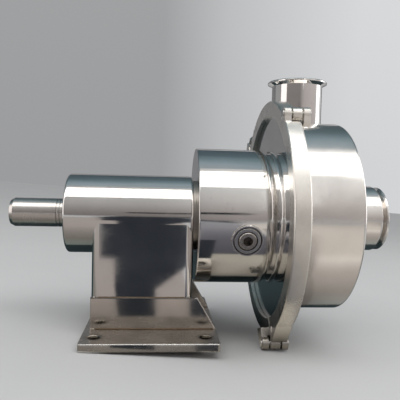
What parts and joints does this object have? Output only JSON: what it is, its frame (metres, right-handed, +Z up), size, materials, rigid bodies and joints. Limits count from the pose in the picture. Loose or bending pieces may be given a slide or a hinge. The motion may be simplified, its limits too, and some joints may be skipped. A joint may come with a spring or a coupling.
{
  "type": "sanitary centrifugal pump",
  "caption": "Bare-shaft sanitary centrifugal pump: polished bearing housing on a welded foot, seal chamber and drum casing held by a hinged clamp ring, with clamp-flange ports.",
  "frame": {"origin": "centre of the four foot holes, on the underside of the base plate", "axes": "+X along the shaft from the drive end towards the suction port, +Z up along the discharge port, -Y on the side of the seal chamber's port plug"},
  "size_m": [0.3686, 0.2347, 0.2657],
  "materials": {
    "polished_steel": "mirror-polished stainless steel",
    "satin_steel": "satin stainless steel with fine scratches",
    "clamp_steel": "cast stainless steel, tumbled smooth, warm grey",
    "brushed_plate": "brushed stainless plate with scratches and a rusty weld line",
    "turned_steel": "turned stainless steel",
    "shaft_steel": "ground shaft steel",
    "weld_bead": "dull weld bead",
    "plug_steel": "dull stainless steel",
    "cast_steel": "bead-blasted cast stainless steel",
    "bearing_steel": "ground bearing steel",
    "circlip_steel": "blackened spring steel",
    "cage_brass": "machined brass",
    "gasket_black": "black rubber",
    "seal_ceramic": "white ceramic, lapped",
    "seal_carbon": "carbon graphite, lapped"
  },
  "bodies": {
    "pump_body": {"base_plate": "brushed_plate", "pedestal_box": "polished_steel", "side_plate_front": "brushed_plate", "side_plate_rear": "brushed_plate", "bearing_housing": "polished_steel", "weld_neck": "weld_bead", "seal_chamber": "polished_steel", "port_boss": "polished_steel", "port_plug": "plug_steel", "plug_washer": "turned_steel", "back_plate": "turned_steel", "casing_drum": "satin_steel", "suction_hub": "satin_steel", "suction_ferrule": "polished_steel", "discharge_ferrule": "polished_steel", "casing_o_ring": "gasket_black", "clamp_front_segment": "clamp_steel", "top_hinge_pin": "turned_steel", "bottom_hinge_pin": "turned_steel", "drive_end_outer_race": "bearing_steel", "pump_end_outer_race": "bearing_steel", "drive_end_lip_seal": "gasket_black", "pump_end_lip_seal": "gasket_black", "housing_circlips": "circlip_steel", "seal_seat": "seal_ceramic", "seal_seat_o_ring": "gasket_black"},
    "rotor": {"shaft": "shaft_steel", "drive_end_inner_race": "bearing_steel", "pump_end_inner_race": "bearing_steel", "shaft_circlips": "circlip_steel", "slinger": "gasket_black", "seal_face_ring": "seal_carbon", "seal_bellows": "turned_steel", "seal_collar": "turned_steel", "impeller": "cast_steel", "impeller_key": "turned_steel", "impeller_nut": "turned_steel"},
    "bearing_cages": {"drive_end_balls": "bearing_steel", "drive_end_cage": "cage_brass", "pump_end_balls": "bearing_steel", "pump_end_cage": "cage_brass"},
    "clamp_upper": {"clamp_upper_segment": "clamp_steel"},
    "clamp_lower": {"clamp_lower_segment": "clamp_steel", "closing_bolt_pin": "turned_steel"},
    "swing_bolt": {"closing_bolt": "turned_steel"},
    "clamp_nut": {"closing_nut": "plug_steel", "closing_washer": "turned_steel"}
  },
  "joints": [
    {"name": "shaft_spin", "type": "hinge", "parent": "pump_body", "child": "rotor", "pos_m": [0, 0, 0.1115], "axis": [1, 0, 0], "continuous": true},
    {"name": "cage_spin", "type": "hinge", "parent": "pump_body", "child": "bearing_cages", "pos_m": [0, 0, 0.1115], "axis": [1, 0, 0], "continuous": true},
    {"name": "clamp_lower_hinge", "type": "hinge", "parent": "pump_body", "child": "clamp_lower", "pos_m": [0.11621, -0.04668, -0.00403], "axis": [-1, 0, 0], "range_deg": [0, 1.49]},
    {"name": "clamp_upper_hinge", "type": "hinge", "parent": "pump_body", "child": "clamp_upper", "pos_m": [0.12371, -0.0674, 0.20775], "axis": [1, 0, 0], "range_deg": [0, 0.94]},
    {"name": "bolt_swing", "type": "hinge", "parent": "clamp_lower", "child": "swing_bolt", "pos_m": [0.11951, 0.11275, 0.16544], "axis": [-1, 0, 0], "range_deg": [0, 100]},
    {"name": "nut_travel", "type": "slide", "parent": "swing_bolt", "child": "clamp_nut", "axis": [0, -0.5299, 0.848], "range_m": [0, 0.00801]}
  ],
  "couplings": [
    {"joint": "cage_spin", "follows": "shaft_spin", "ratio": 0.4},
    {"joint": "clamp_upper_hinge", "follows": "clamp_lower_hinge", "ratio": 0.6242},
    {"joint": "nut_travel", "follows": "clamp_lower_hinge", "m_per_rad": 0.3064}
  ]
}
